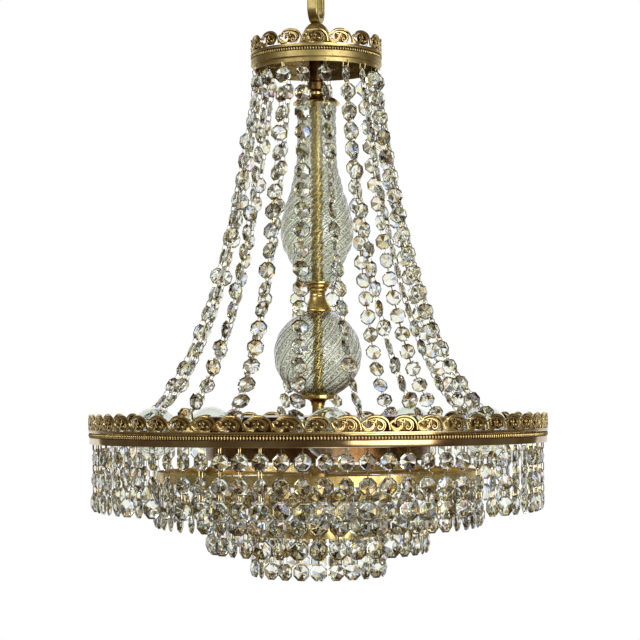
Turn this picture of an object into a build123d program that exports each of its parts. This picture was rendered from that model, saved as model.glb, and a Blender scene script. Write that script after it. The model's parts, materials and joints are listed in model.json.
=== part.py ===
from build123d import *
import os
from math import acosh, asinh, atan2, cos, cosh, degrees, radians, sin, sinh, sqrt

# A crystal chandelier, in mm. +Z is up, -Y is the front, and z = 0 is the seat of the hanging loop.
# Every "depth" is measured down from that seat. Every "azimuth" is an angle round the stem,
# from the front, positive to the right.

# fits
slip = 0.1               # hole over a rod, radial
thread_fit = 0.05        # tapped hole over a thread, radial
running_fit = 0.08       # turning pin in its bore, radial
running_gap = 0.3        # between faces that turn past each other
solder_wall = 1.0        # sheet brass

# hanging loop and swivel
loop_inner_height = 30
loop_inner_width = 17
loop_bar = 6
loop_strap = 10.5
loop_round = 1.6
loop_azimuth = -16.4
loop_split = 0.5
loop_split_depth = 19
swivel_radius = 3
swivel_nut_flats = 10
swivel_nut_height = 4
swivel_wall = 4

# top hub
hub_base_depth = 67
hub_base_radius = 19
hub_wall = 1.8
hub_web_depth = 54
hub_web = 5
cord_radius = 4
cord_depth = 46.8        # the bore looks out over the gallery's top
cord_boss_radius = 5.3
cord_boss_end = 18.5
cord_boss_start = 9.5

# stem
rod_radius = 5
rod_bore = 3.5
rod_top = 53
rod_bottom = 549
nut_flats = 17
nut_height = 5

# crown
crown_radius = 66
crown_motifs = 16
crown_gallery_top = 51.1
crown_top = 67.6
crown_step = 78.8
crown_bottom = 83.5
crown_wall = 1.6
crown_skirt_radius = 62
crown_plate = 1.2
crown_plate_step = 34

# column, from the crown down
coupling_neck = 7.5
coupling_knob = 9
coupling_knob_top = 95
coupling_bottom = 104
collar_radius = 7
collar_bottom = 107.6
cap_radius = 24
cap_seat = 115.5
cap_lip = 117.5
vase_wall = 3
vase_mouth = 20.5
vase_base = 13.5
vase_hole = 9
vase_bottom = 296
sleeve_radius = 6
spool_flare = 14.4
spool_waist = 7.8
spool_bell = 14.9
spool_bottom = 326
ball_radius = 44
ball_wall = 3.5
ball_hole = 9
ball_centre = 368.5
cup_radius = 17.5
cup_bottom = 419.6

# drum
drum_radius = 112
drum_top_depth = 430
drum_bottom_depth = 473
drum_plate = 1.2
block_length = 46
block_width = 20
block_height = 15
block_offset = 42

# lamps
lamp_azimuths = [3.6, 83.6, 143.6, 223.6, 283.6]
lamp_depth = 444.3
holder_radius = 13.5
holder_wall = 1.2
holder_end = 139
holder_step = 127
holder_floor = 116.7
nipple_radius = 5
nipple_start = 104
holder_nut_flats = 14
holder_nut_height = 3
bulb_cap_radius = 6.9
bulb_cap_tip = 117
bulb_neck_radius = 8.6
bulb_neck_start = 138
bulb_centre = 165
bulb_radius = 24
bulb_wall = 1.0
bulb_thread_room = 0.35  # cap to holder, radial

# lower ring
ring_radius = 228
ring_motifs = 54
ring_gallery_top = 426.9
ring_top = 443.5
ring_bottom = 456
ring_wall = 1.0
ring_skirt_radius = 221
ring_skirt_bottom = 455.7
gallery_thickness = 2.0
gallery_strip = 1.2
scroll_width = 1.9
curl_width = 1.5

# flat bars from the drum to the ring
spoke_azimuths = [44, 104, 184, 264, 324]
spoke_width = 12
spoke_thickness = 3
spoke_bottom = 455
tab_height = 11
tab_thickness = 2.5
screw_radius = 1.5
screw_room = 0.35        # between a screw's head and the bar under it
screw_head_radius = 2.75
screw_head = 2.2
screw_nut_flats = 5.5
screw_nut = 2

# crystals and their wire links
bead_size = 16
bead_large = 18.2
bead_low = 16.2
bead_half = 3.2
bead_bevel = 3.6
bead_hole = 1.2
bead_inset = 2.3
wire = 0.7
link_half_width = 2.0
link_seat = 0.65         # from a hole's centre to the inside of the link
hook_seat = 0.2          # the same for the hooks, which meet the first crystal at a bend

# strands from the crown to the ring
strand_count = 18
strand_step = 20
strand_beads = 21
strand_pitch = 19.8
strand_crown_azimuth = 8
strand_ring_azimuth = 14.05
strand_sag = 59          # parameter of the hanging curve
strand_low_radius = 216.5
strand_low_depth = 446.7
strand_first_depth = 95.4
pin_radius = 0.7
pin_hole = 1.0
pin_head_radius = 1.7
pin_head = 0.8

# rings of drops: wall radius, count, first azimuth, top and bottom of the band,
# then the centre depth and size of each crystal
ring_drops = (ring_skirt_radius, 72, 1.5, None, ring_skirt_bottom,
              [(469.5, bead_size), (491, bead_size), (512.9, bead_large)])
tier2 = (160, 52, 0, 484, 494, [(506, bead_size), (530, bead_large)])
tier3 = (108, 36, 0, 512, 522.3, [(534, bead_size), (555.8, bead_large)])
tier4 = (65, 24, 0, 537.7, 547.8, [(557.9, bead_size), (580.2, bead_low)])
spider_depths = [487, 514, 540]
spider_arms = 4
spider_azimuth = 45
spider_hub = 14
spider_arm = 8
spider_thickness = 3


def solids_of(shapes):
    """All the solids in a list of shapes."""
    return [solid for shape in shapes for solid in shape.solids()]


def save(name, *shapes):
    """Write one named piece, or one named group of like pieces."""
    solids = solids_of(shapes)
    piece = solids[0] if len(solids) == 1 else Compound(solids)
    export_step(piece, f"parts/{name}.step", write_pcurves=False)


def outline(points):
    """A flat face from (x, y) corners."""
    return make_face(Polyline(*points, close=True))


def turned(points):
    """A solid turned about the stem from (radius, depth) corners."""
    return revolve(Plane.XZ * outline([(radius, -depth) for radius, depth in points]), Axis.Z)


def tube(outer, inner, top, bottom):
    """A straight tube on the stem."""
    return turned([(inner, top), (outer, top), (outer, bottom), (inner, bottom)])


def radial(azimuth, depth):
    """A plane on the stem whose normal points out at an azimuth, with its Y up."""
    angle = radians(azimuth)
    return Plane(origin=(0, 0, -depth), x_dir=(cos(angle), sin(angle), 0),
                 z_dir=(sin(angle), -cos(angle), 0))


def around(azimuths, shapes):
    """Copies of front-facing shapes turned to each azimuth."""
    return [Rot(0, 0, azimuth) * shape for azimuth in azimuths for shape in shapes]


def hole(azimuth, depth, radius, wall_radius, length=6):
    """A radial drill through a wall."""
    return radial(azimuth, depth) * Pos(0, 0, wall_radius) * Cylinder(radius, length)


def hexagon(flats):
    """A hexagon by its size across the flats."""
    return RegularPolygon(flats / 2, 6, major_radius=False)


def rod_nut(top):
    """A nut on the stem rod with its upper face at a depth."""
    face = hexagon(nut_flats) - Circle(rod_radius + thread_fit)
    return extrude(Pos(0, 0, -top - nut_height) * face, nut_height)


# hanging loop ------------------------------------------------------------------------------

def loop_face(width, height):
    """The loop's oval, centred, standing up."""
    return SlotOverall(height, width, rotation=90)


loop_outer_width = loop_inner_width + 2 * loop_bar
loop_outer_height = loop_inner_height + 2 * loop_bar
loop_bottom = loop_inner_height + loop_bar
loop_plane = radial(loop_azimuth + 90, loop_inner_height / 2)
loop_oval = loop_face(loop_outer_width, loop_outer_height) - loop_face(loop_inner_width, loop_inner_height)
loop = extrude(loop_plane * loop_oval, loop_strap / 2, both=True)
loop = fillet(loop.edges(), loop_round)
far_bar = radial(loop_azimuth + 180, loop_split_depth) * Pos(0, 0, loop_outer_width / 2)
loop -= far_bar * Box(loop_strap * 2, loop_split, loop_bar * 3)

hub_top = loop_bottom + running_gap
swivel_nut_top = hub_top + swivel_wall + running_gap
swivel_end = swivel_nut_top + swivel_nut_height
stud_top = loop_bottom - loop_bar / 2
loop += Pos(0, 0, -(stud_top + swivel_end) / 2) * Cylinder(swivel_radius, swivel_end - stud_top)
save("suspension_loop", loop)

swivel_face = hexagon(swivel_nut_flats) - Circle(swivel_radius + thread_fit)
save("swivel_nut", extrude(Pos(0, 0, -swivel_end) * swivel_face, swivel_nut_height))

# top hub -----------------------------------------------------------------------------------

hub_line = [(7.3, hub_top), (10.5, 39.5), (13, 44), (16, 50), (18, 58), (hub_base_radius, hub_base_depth)]
hub_room_top = hub_top + swivel_wall
hub_room = [(radius - hub_wall, depth) for radius, depth in hub_line[1:]]
web_radius = hub_room[3][0] - 0.6
web_bottom = hub_web_depth + hub_web
hub = turned([(swivel_radius + running_fit, hub_top)] + hub_line + [
    hub_room[-1], (web_radius + 0.6, web_bottom), (rod_radius + thread_fit, web_bottom),
    (rod_radius + thread_fit, hub_web_depth), (web_radius, hub_web_depth), hub_room[2], hub_room[1],
    (hub_room[0][0], hub_room_top), (swivel_radius + running_fit, hub_room_top),
])
hub += hole(180, cord_depth, cord_boss_radius, (cord_boss_start + cord_boss_end) / 2,
            cord_boss_end - cord_boss_start)
hub -= hole(180, cord_depth, cord_radius, cord_boss_end, 2 * (cord_boss_end - cord_boss_start) + 2)
save("top_hub", hub)

# galleries of scrollwork -------------------------------------------------------------------

def ribbon(start, middle, end, width):
    """A curved strip with round ends."""
    return SlotArc(ThreePointArc(start, middle, end), width)


def low_scroll():
    """The small scroll that opens upward, with a pearl at its tip."""
    return [
        ribbon((-15.4, 9.8), (-12.2, 4.2), (-7.2, 2.0), scroll_width),
        ribbon((-7.2, 2.0), (-1.9, 6.4), (-2.9, 11.3), scroll_width),
        ribbon((-2.9, 11.3), (-4.9, 12.2), (-7.0, 11.2), curl_width),
        Pos(-7.4, 11.6) * Circle(1.3),
    ]


def high_scroll():
    """The tall arch that curls inward to a pearl."""
    return [
        ribbon((-9.8, 12.4), (0.4, 15.65), (8.9, 11.4), scroll_width),
        ribbon((8.9, 11.4), (10.1, 6.4), (6.6, 0.8), scroll_width),
        ribbon((1.6, 14.6), (7.2, 9.8), (6.4, 4.6), curl_width),
        ribbon((6.4, 4.6), (3.4, 2.7), (1.2, 5.0), curl_width),
        ribbon((1.2, 5.0), (2.0, 7.0), (4.2, 6.6), curl_width),
        Pos(3.5, 5.4) * Circle(1.3),
        Pos(0.0, 9.6) * Circle(1.2),
        ribbon((0.0, 9.6), (-1.0, 12.0), (-0.6, 15.0), curl_width),
    ]


def gallery(radius, count, top, bottom):
    """A ring of identical cast motifs that meet edge to edge."""
    pitch = 360 / count
    width = radians(pitch) * radius
    face = Pos(0, gallery_strip / 2) * Rectangle(width * 1.2, gallery_strip)
    face = face + high_scroll() + low_scroll() + [Pos(width, 0) * part for part in low_scroll()]
    inner = radius - gallery_thickness
    front = radial(0, bottom) * Pos(0, 0, inner - 2) * face
    wall = Plane.XZ * outline([(inner, -top), (radius, -top), (radius, -bottom), (inner, -bottom)])
    sector = revolve(Rot(0, 0, -90 - pitch / 2) * wall, Axis.Z, pitch)
    motif = extrude(front, gallery_thickness + 4) & sector
    return around([pitch * index for index in range(count)], [motif])


save("crown_gallery", *gallery(crown_radius, crown_motifs, crown_gallery_top, crown_top))
save("ring_gallery", *gallery(ring_radius, ring_motifs, ring_gallery_top, ring_top))

# crystals and links ------------------------------------------------------------------------

def bead(size):
    """An eight-sided crystal, facing local Z, with a hole near its top and its bottom edge."""
    face = RegularPolygon(size / 2, 8, major_radius=False, rotation=22.5)
    taper = degrees(atan2(bead_bevel, bead_half))
    half = extrude(face, bead_half, taper=taper)
    solid = half + mirror(half, Plane.XY)
    reach = size / 2 - bead_inset
    return solid - [Pos(0, side * reach, 0) * Cylinder(bead_hole, 4 * bead_half) for side in (1, -1)]


def link(distance, seat=link_seat):
    """A wire oval that joins two holes a distance apart along local Y, centred between them."""
    straight = distance - 2 * seat - 2 * link_half_width
    inner = SlotCenterToCenter(straight, 2 * link_half_width)
    outer = SlotCenterToCenter(straight, 2 * link_half_width + 2 * wire)
    side = Plane(origin=(0, 0, 0), x_dir=(0, 1, 0), z_dir=(1, 0, 0))
    return extrude(side * (outer - inner), wire / 2, both=True)


beads = {size: bead(size) for size in (bead_size, bead_large, bead_low)}


def drops(radius, count, first, top, bottom, crystals):
    """The crystals and the links of one ring of drops."""
    hung = []
    links = []
    hook = bottom - bead_inset
    for depth, size in crystals:
        reach = size / 2 - bead_inset
        eye = depth - reach
        hung.append(radial(0, depth) * Pos(0, 0, radius) * beads[size])
        links.append(radial(0, (hook + eye) / 2) * Pos(0, 0, radius) * link(eye - hook))
        hook = depth + reach
    azimuths = [first + 360 / count * index for index in range(count)]
    return around(azimuths, hung), around(azimuths, links)


def hook_holes(radius, count, first, bottom):
    """Drills for the hooks along the lower edge of a band."""
    return [hole(first + 360 / count * index, bottom - bead_inset, bead_hole, radius)
            for index in range(count)]


# crown -------------------------------------------------------------------------------------

crown_inner = crown_radius - crown_wall
crown_band = turned([
    (crown_inner, crown_top), (crown_radius, crown_top), (crown_radius, crown_top + 1.6),
    (crown_radius - 0.9, crown_top + 1.6), (crown_radius - 0.9, crown_top + 5.6),
    (crown_radius - 0.3, crown_top + 5.6), (crown_radius - 0.3, crown_step),
    (crown_skirt_radius + solder_wall / 2, crown_step + 0.8),
    (crown_skirt_radius + solder_wall / 2, crown_bottom),
    (crown_skirt_radius - solder_wall / 2, crown_bottom),
    (crown_skirt_radius - solder_wall / 2, crown_step - 0.4), (crown_inner, crown_step - 1.4),
])
crown_beading = turned([
    (crown_radius - 1.4, crown_top + 2.0), (crown_radius - 0.4, crown_top + 2.4),
    (crown_radius, crown_top + 3.6), (crown_radius - 0.4, crown_top + 4.8),
    (crown_radius - 1.4, crown_top + 5.2),
])
crown_band += crown_beading
crown_band -= hook_holes(crown_skirt_radius, strand_count, strand_crown_azimuth, crown_bottom)
save("crown_band", crown_band)

crown_plate_bottom = crown_top + 1.6
plate_top = crown_plate_bottom - crown_plate
save("crown_plate", turned([
    (rod_radius + slip, hub_base_depth), (crown_plate_step, hub_base_depth),
    (crown_plate_step + 0.6, plate_top), (crown_inner, plate_top), (crown_inner, crown_plate_bottom),
    (rod_radius + slip, crown_plate_bottom),
]))

# column ------------------------------------------------------------------------------------

bore = rod_radius + slip
save("stem_rod", tube(rod_radius, rod_bore, rod_top, rod_bottom))
save("stem_coupling", turned([
    (bore, crown_plate_bottom), (coupling_neck, crown_plate_bottom),
    (coupling_neck, coupling_knob_top - 1), (coupling_knob, coupling_knob_top + 0.5),
    (coupling_knob, coupling_bottom - 1.5), (coupling_neck, coupling_bottom), (bore, coupling_bottom),
]))
save("stem_collar", turned([
    (bore, coupling_bottom), (collar_radius - 0.8, coupling_bottom), (collar_radius, 105.2),
    (collar_radius, collar_bottom), (bore, collar_bottom),
]))
save("vase_cap", turned([
    (bore, collar_bottom), (collar_radius + 2, collar_bottom), (14, 109.3), (20, 112.4),
    (cap_radius - 0.6, 115.8), (cap_radius, cap_lip), (cap_radius - 1.4, cap_lip),
    (vase_mouth + 0.4, cap_seat), (bore, cap_seat),
]))

vase_line = [(vase_mouth, cap_seat), (19.5, 135), (20, 158), (21.5, 183.5), (25, 196), (26.5, 204),
             (32, 219), (36.6, 242), (35, 259), (29, 272), (21, 288), (17.3, 293.6)]
vase_inside = [(radius - vase_wall, depth) for radius, depth in vase_line[:-1]]
vase_outer = Spline([(radius, -depth) for radius, depth in vase_line])
vase_inner = Spline([(radius, -depth) for radius, depth in vase_inside])
vase_edges = [
    vase_outer, vase_inner,
    Line(vase_inner @ 0, vase_outer @ 0),
    Polyline(vase_outer @ 1, (vase_base, -vase_bottom), (vase_hole, -vase_bottom),
             (vase_hole, -vase_bottom + vase_wall), vase_inner @ 1),
]
save("glass_vase", revolve(Plane.XZ * make_face(vase_edges), Axis.Z))
save("vase_sleeve", tube(sleeve_radius, bore, cap_seat, vase_bottom))
save("brass_spool", turned([
    (bore, vase_bottom), (spool_flare, vase_bottom), (spool_flare, vase_bottom + 2), (12.5, 301.5),
    (9, 304.5), (spool_waist, 306.5), (spool_waist, 310), (9.5, 315), (13, 320), (spool_bell, 323),
    (spool_bell, spool_bottom), (bore, spool_bottom),
]))

ball_place = Pos(0, 0, -ball_centre)
ball = ball_place * (Sphere(ball_radius) - Sphere(ball_radius - ball_wall))
ball -= ball_place * Cylinder(ball_hole, 3 * ball_radius)
ball -= Pos(0, 0, -spool_bottom + ball_radius / 2) * Box(2 * ball_radius, 2 * ball_radius, ball_radius)
save("glass_ball", ball)
cup = turned([(bore, 408.5), (cup_radius, 408.5), (cup_radius, 411.5), (9, cup_bottom), (bore, cup_bottom)])
save("ball_cup", cup - ball_place * Sphere(ball_radius))
save("lower_sleeve", tube(sleeve_radius, bore, cup_bottom, drum_top_depth))

# drum --------------------------------------------------------------------------------------

drum_inner = drum_radius - solder_wall
screw_depth = spoke_bottom - spoke_thickness - screw_room - screw_head_radius
screw_hole = screw_radius + slip
drum_shell = tube(drum_radius, drum_inner, drum_top_depth, drum_bottom_depth)
drum_shell -= [hole(azimuth, lamp_depth, nipple_radius + slip, drum_radius) for azimuth in lamp_azimuths]
drum_shell -= [hole(azimuth, screw_depth, screw_hole, drum_radius) for azimuth in spoke_azimuths]
save("drum_shell", drum_shell)
save("drum_top", tube(drum_inner, bore, drum_top_depth, drum_top_depth + drum_plate))
save("drum_bottom", tube(drum_inner, bore, drum_bottom_depth - drum_plate, drum_bottom_depth))

block_top = drum_top_depth + drum_plate
block = Pos(block_offset, 0, -block_top - block_height / 2) * Box(block_length, block_width, block_height)
wells = [Pos(block_offset + step, 0, -block_top - block_height / 2) * Rot(90, 0, 0)
         * Cylinder(2.5, 2 * block_width) for step in (-14, 0, 14)]
save("terminal_block", block - wells)

# lamps -------------------------------------------------------------------------------------

def turned_out(points):
    """A solid turned about local Z from (radius, distance) corners."""
    return revolve(Plane.XZ * outline(points), Axis.Z)


holder_inner = holder_radius - holder_wall
thread_room = bulb_cap_radius + bulb_thread_room
holder = turned_out([
    (3, nipple_start), (nipple_radius, nipple_start), (nipple_radius, drum_radius),
    (holder_radius, drum_radius), (holder_radius, holder_end), (holder_inner, holder_end),
    (holder_inner, holder_step), (thread_room, holder_step), (thread_room, holder_floor),
    (3, holder_floor),
])
bulb_cap = turned_out([
    (0, bulb_cap_tip), (4, bulb_cap_tip), (bulb_cap_radius, bulb_cap_tip + 2.5), (bulb_cap_radius, 134),
    (bulb_neck_radius, 136.5), (bulb_neck_radius, bulb_neck_start), (0, bulb_neck_start),
])


def globe_line(radius, neck):
    """The half outline of a globe with its neck, from the neck to the tip."""
    meet = (neck, bulb_centre - sqrt(radius ** 2 - neck ** 2))
    tip = (0, bulb_centre + radius)
    return meet, tip, ThreePointArc(meet, (radius, bulb_centre), tip)


outer_meet, outer_tip, outer_arc = globe_line(bulb_radius, bulb_neck_radius)
inner_neck = bulb_neck_radius - bulb_wall
inner_meet, inner_tip, inner_arc = globe_line(bulb_radius - bulb_wall, inner_neck)
globe_edges = [
    outer_arc, inner_arc, Line(outer_tip, inner_tip),
    Polyline(outer_meet, (bulb_neck_radius, bulb_neck_start), (inner_neck, bulb_neck_start), inner_meet),
]
globe = revolve(Plane.XZ * make_face(globe_edges), Axis.Z)

nut_place = drum_inner - 0.4 - holder_nut_height
holder_nut = extrude(Pos(0, 0, nut_place) * (hexagon(holder_nut_flats) - Circle(nipple_radius + thread_fit)),
                     holder_nut_height)
for number, azimuth in enumerate(lamp_azimuths, 1):
    place = radial(azimuth, lamp_depth)
    save(f"lampholder_{number}", place * holder)
    save(f"bulb_cap_{number}", place * bulb_cap)
    save(f"bulb_globe_{number}", place * globe)
save("holder_nuts", *[radial(azimuth, lamp_depth) * holder_nut for azimuth in lamp_azimuths])

# strands -----------------------------------------------------------------------------------

def plan_point(azimuth, radius):
    """A point of the plan by azimuth and radius."""
    return Vector(radius * sin(radians(azimuth)), -radius * cos(radians(azimuth)), 0)


strand_start = plan_point(strand_crown_azimuth, crown_skirt_radius)
strand_end = plan_point(strand_ring_azimuth, ring_skirt_radius)
strand_out = (strand_end - strand_start).normalized()
strand_side = Vector(-strand_out.Y, strand_out.X, 0)
strand_span = (strand_end - strand_start).length


def strand_point(run, depth):
    """A point of the strand's upright plane, by its run out from the crown and its depth."""
    return strand_start + strand_out * (run - crown_skirt_radius) - Vector(0, 0, depth)


def strand_frame(lower, upper):
    """A plane midway between two points, with its Y along them and its X level."""
    up = (upper - lower).normalized()
    return Plane(origin=(lower + upper) * 0.5, x_dir=strand_side, z_dir=strand_side.cross(up))


bead_reach = bead_size / 2 - bead_inset
top_angle = acosh(1 + (strand_low_depth - strand_first_depth) / strand_sag)
strand_length = strand_sag * sinh(top_angle)
strand_crystals = []
strand_links = []
hook_point = strand_point(crown_skirt_radius, crown_bottom - bead_inset)
for index in range(strand_beads):
    angle = asinh((strand_length - strand_pitch * index) / strand_sag)
    centre = strand_point(strand_low_radius - strand_sag * angle,
                          strand_low_depth - strand_sag * (cosh(angle) - 1))
    up = (Vector(0, 0, sinh(angle)) - strand_out).normalized()
    upper = centre + up * bead_reach
    lower = centre - up * bead_reach
    strand_crystals.append(strand_frame(lower, upper) * beads[bead_size])
    seat = link_seat if index else hook_seat
    strand_links.append(strand_frame(upper, hook_point) * link((hook_point - upper).length, seat))
    hook_point = lower

wall_point = strand_point(crown_skirt_radius + strand_span, strand_low_depth)
pin_length = (hook_point - wall_point).length
pin_eye = pin_length - 2.6
pin_frame = strand_frame(wall_point, hook_point) * Pos(0, -pin_length / 2, 0)
pin_side = Rot(90, 0, 0)
eye_pin = Pos(0, pin_length - pin_eye / 2, 0) * link(pin_eye)
eye_pin += Pos(0, 0.75, 0) * pin_side * Cylinder(pin_radius, 4.5)
eye_pin += Pos(0, -0.7 - pin_head / 2, 0) * pin_side * Cylinder(pin_head_radius, pin_head)
pin_drill = pin_frame * pin_side * Cylinder(pin_hole, 5)

strand_azimuths = [strand_step * index for index in range(strand_count)]
save("crown_hooks", *around(strand_azimuths, strand_links[:1]))
save("swag_beads", *around(strand_azimuths, strand_crystals))
save("swag_links", *around(strand_azimuths, strand_links[1:]))
save("swag_pins", *around(strand_azimuths, [pin_frame * eye_pin]))

# lower ring --------------------------------------------------------------------------------

ring_face = ring_radius - 0.8
skirt_out = ring_skirt_radius + ring_wall / 2
skirt_in = ring_skirt_radius - ring_wall / 2
ring_band = turned([
    (skirt_in, ring_top), (ring_radius, ring_top), (ring_radius, ring_top + 1.8),
    (ring_face - 0.4, ring_top + 1.8), (ring_face - 0.4, ring_top + 6.3), (ring_face, ring_top + 6.3),
    (ring_face, ring_bottom), (ring_face - 1.2, ring_bottom), (ring_face - 1.2, ring_top + 1.4),
    (skirt_out, ring_top + 1.4), (skirt_out, ring_skirt_bottom), (skirt_in, ring_skirt_bottom),
])
ring_band += turned([
    (ring_face - 0.8, ring_top + 2.3), (ring_face + 0.4, ring_top + 2.8), (ring_radius, ring_top + 4.05),
    (ring_face + 0.4, ring_top + 5.3), (ring_face - 0.8, ring_top + 5.8),
])
ring_band -= hook_holes(*ring_drops[:3], ring_skirt_bottom)
ring_band -= around(strand_azimuths, [pin_drill])
ring_band -= [hole(azimuth, screw_depth, screw_hole, ring_skirt_radius, 4) for azimuth in spoke_azimuths]
save("ring_band", ring_band)


def bolt(head_start, tip, nut_start):
    """A screw and its nut on local Z; the head lies on the side away from the tip."""
    outward = 1 if tip > head_start else -1
    head_end = head_start - outward * screw_head
    head = Pos(0, 0, (head_start + head_end) / 2) * Cylinder(screw_head_radius, screw_head)
    shank = Pos(0, 0, (head_start + tip) / 2) * Cylinder(screw_radius, abs(tip - head_start))
    face = hexagon(screw_nut_flats) - Circle(screw_hole)
    return [head + shank, extrude(Pos(0, 0, nut_start) * face, screw_nut)]


spoke_level = radial(0, spoke_bottom - spoke_thickness / 2)
tab_level = radial(0, spoke_bottom - tab_height / 2)
screw_level = radial(0, screw_depth)
spoke_run = (drum_radius + ring_skirt_radius) / 2
tab_blank = tab_thickness + 2
spoke = spoke_level * Pos(0, 0, spoke_run) * Box(spoke_width, spoke_thickness, 2 * drum_radius)
spoke += tab_level * Pos(0, 0, drum_radius - 2 + tab_blank / 2) * Box(spoke_width, tab_height, tab_blank)
spoke += tab_level * Pos(0, 0, skirt_in + 2 - tab_blank / 2) * Box(spoke_width, tab_height, tab_blank)
spoke = spoke & tube(skirt_in, drum_radius, ring_top, ring_bottom)
inner_tab = drum_radius + tab_thickness
outer_tab = skirt_in - tab_thickness
screw_drill = Cylinder(screw_hole, 4 * tab_thickness)
spoke -= [screw_level * Pos(0, 0, run) * screw_drill for run in (inner_tab, outer_tab)]
save("ring_spokes", *around(spoke_azimuths, [spoke]))
inner_bolt = bolt(inner_tab, drum_inner - screw_nut - 0.5, drum_inner - 0.1 - screw_nut)
outer_bolt = bolt(outer_tab, skirt_out + screw_nut + 0.5, skirt_out)
save("spoke_screws", *around(spoke_azimuths, [screw_level * piece for piece in inner_bolt + outer_bolt]))

# rings of drops ----------------------------------------------------------------------------

all_links = []
tier1_beads, tier1_links = drops(*ring_drops)
save("tier1_beads", *tier1_beads)
all_links += tier1_links

spider_turns = [spider_azimuth + 360 / spider_arms * index for index in range(spider_arms)]
for number, (tier, level) in enumerate(zip([tier2, tier3, tier4], spider_depths), 2):
    radius, count, first, top, bottom, crystals = tier
    band = tube(radius + solder_wall / 2, radius - solder_wall / 2, top, bottom)
    save(f"tier{number}_band", band - hook_holes(radius, count, first, bottom))
    hung, links = drops(*tier)
    save(f"tier{number}_beads", *hung)
    all_links += links
    reach = radius - solder_wall / 2
    spider = tube(spider_hub, rod_radius + slip, level, level + spider_thickness)
    arm = radial(0, level + spider_thickness / 2) * Pos(0, 0, reach / 2 + spider_hub / 2)
    arm = arm * Box(spider_arm, spider_thickness, reach - spider_hub / 2)
    spider += around(spider_turns, [arm])
    save(f"tier{number}_spider", spider & tube(reach, rod_radius + slip, top, bottom))
save("drop_links", *all_links)

nut_levels = [drum_bottom_depth]
for level in spider_depths:
    nut_levels += [level - nut_height, level + spider_thickness]
save("rod_nuts", *[rod_nut(level) for level in nut_levels])
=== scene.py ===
# %% [markdown]
# # A crystal chandelier
# A brass crown hangs from a loop. A column of glass and brass goes down from it, and strands of
# cut crystals sweep out from the crown to a wide brass ring. Lamps lie level inside the ring, and
# four rows of drops hang below them in steps.
# The solids come from the shared frame in metres. The seat of the hanging loop is the origin, +Z is
# up and the front faces -Y, so each new piece here is made right where its solid is.

# %% Load the solids
import bmesh
import bpy
import json
import random
from bisect import bisect_left
from math import acosh, asinh, atan2, cos, cosh, exp, pi, radians, sin, sinh, sqrt, tau
from mathutils import Matrix, Vector


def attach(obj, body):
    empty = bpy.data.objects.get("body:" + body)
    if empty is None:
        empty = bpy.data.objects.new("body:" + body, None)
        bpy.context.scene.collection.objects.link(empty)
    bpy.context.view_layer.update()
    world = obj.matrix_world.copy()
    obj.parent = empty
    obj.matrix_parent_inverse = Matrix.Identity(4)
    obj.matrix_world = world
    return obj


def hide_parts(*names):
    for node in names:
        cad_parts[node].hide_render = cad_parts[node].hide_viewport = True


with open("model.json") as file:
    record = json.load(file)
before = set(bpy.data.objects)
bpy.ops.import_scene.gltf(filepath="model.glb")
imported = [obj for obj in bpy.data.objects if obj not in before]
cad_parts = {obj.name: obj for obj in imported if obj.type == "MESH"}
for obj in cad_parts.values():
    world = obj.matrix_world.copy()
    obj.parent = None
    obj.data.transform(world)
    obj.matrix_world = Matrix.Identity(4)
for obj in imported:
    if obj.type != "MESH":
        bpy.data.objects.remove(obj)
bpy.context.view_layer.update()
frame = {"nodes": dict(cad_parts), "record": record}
MM = 0.001

# %% [markdown]
# ## The camera
# The chandelier is seen from well below its crown and a little above its ring, from about two metres
# away. A long lens keeps the ring's ellipse flat. The camera sits just above the ring, tilts up a
# little to take in the crown, and rolls a fraction of a degree, so that the stem leans very slightly,
# as a hanging light often does.

# %% Camera
picture_width = 640  # pixels
focal_length = 1950  # pixels, which shows a millimetre at the stem as one pixel
camera_data = bpy.data.cameras.new("view_from_the_front")
camera_data.sensor_width = 36
camera_data.lens = focal_length / picture_width * camera_data.sensor_width
camera = bpy.data.objects.new("view_from_the_front", camera_data)
camera.location = (0.002, -1.95, -0.412)
camera.rotation_euler = (radians(92.29), radians(0.3), 0)
bpy.context.collection.objects.link(camera)
bpy.context.scene.camera = camera
print("lens:", round(camera_data.lens, 1), "mm")

# %% [markdown]
# ## Light
# Cut glass has no colour of its own: it shows what is around it. A white sheet behind the
# chandelier shines through the crystals, and the darker room at the sides draws their edges. Three
# soft lamps light the brass: the level one draws a bright patch on the ring, right of its middle.
# The camera itself sees plain white behind the object from every side, so the sheet is clear to the
# camera and white only to light that goes through glass or off metal. The pale floor fades out with
# its distance from the object, so that none of its edges crosses the white.

# %% World
world = bpy.data.worlds.new("studio")
bpy.context.scene.world = world
world.use_nodes = True
nodes = world.node_tree.nodes
links = world.node_tree.links
nodes.clear()


def background(colour, strength):
    """One colour of the surroundings."""
    node = nodes.new("ShaderNodeBackground")
    node.inputs["Color"].default_value = (*colour, 1)
    node.inputs["Strength"].default_value = strength
    return node


room = background((0.60, 0.50, 0.36), 0.22)
haze = background((0.86, 0.90, 0.84), 0.42)
white = background((1, 1, 1), 1.0)
path = nodes.new("ShaderNodeLightPath")
through_glass = nodes.new("ShaderNodeMixShader")
seen = nodes.new("ShaderNodeMixShader")
world_out = nodes.new("ShaderNodeOutputWorld")
links.new(path.outputs["Is Transmission Ray"], through_glass.inputs[0])
links.new(room.outputs[0], through_glass.inputs[1])
links.new(haze.outputs[0], through_glass.inputs[2])
links.new(path.outputs["Is Camera Ray"], seen.inputs[0])
links.new(through_glass.outputs[0], seen.inputs[1])
links.new(white.outputs[0], seen.inputs[2])
links.new(seen.outputs[0], world_out.inputs[0])
bpy.context.scene.view_settings.view_transform = "Standard"
print("world: white to the camera, a warm dark room to the brass, haze to the glass")


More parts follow.
